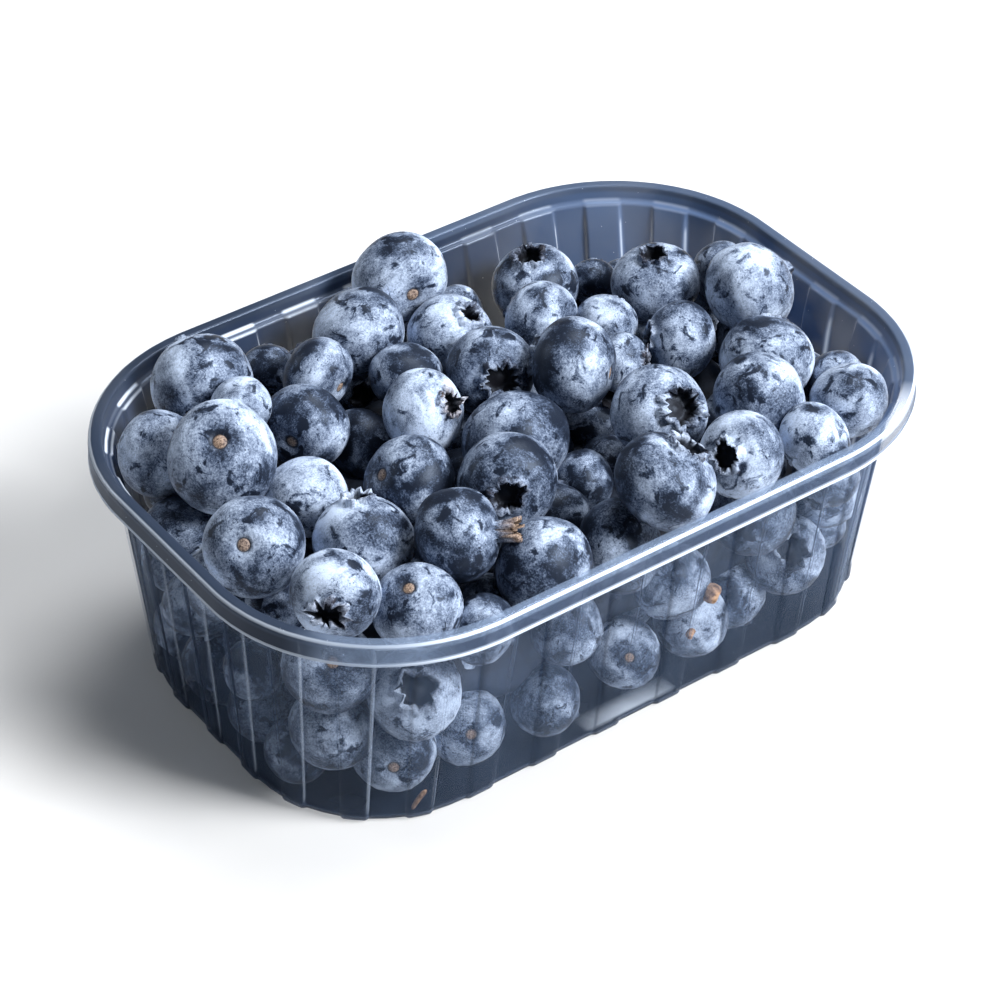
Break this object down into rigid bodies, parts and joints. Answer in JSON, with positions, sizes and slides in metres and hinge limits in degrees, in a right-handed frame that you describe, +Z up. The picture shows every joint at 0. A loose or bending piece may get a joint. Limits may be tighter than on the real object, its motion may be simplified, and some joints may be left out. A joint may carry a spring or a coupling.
{
  "type": "punnet of blueberries",
  "caption": "Clear ribbed plastic punnet with rounded ends and a turned-down rim, heaped with loose blueberries above its rim.",
  "frame": {"origin": "middle of the punnet, on the surface that it stands on", "axes": "+X along the long side, +Y across the short side towards the back, +Z up"},
  "size_m": [0.143, 0.1, 0.0594],
  "materials": {
    "clear_plastic": "clear thermoformed sheet, glossy",
    "berry_skin": "waxy bloom over dark blue skin"
  },
  "bodies": {
    "root": {"punnet": "clear_plastic", "blueberries": "berry_skin"}
  },
  "joints": []
}
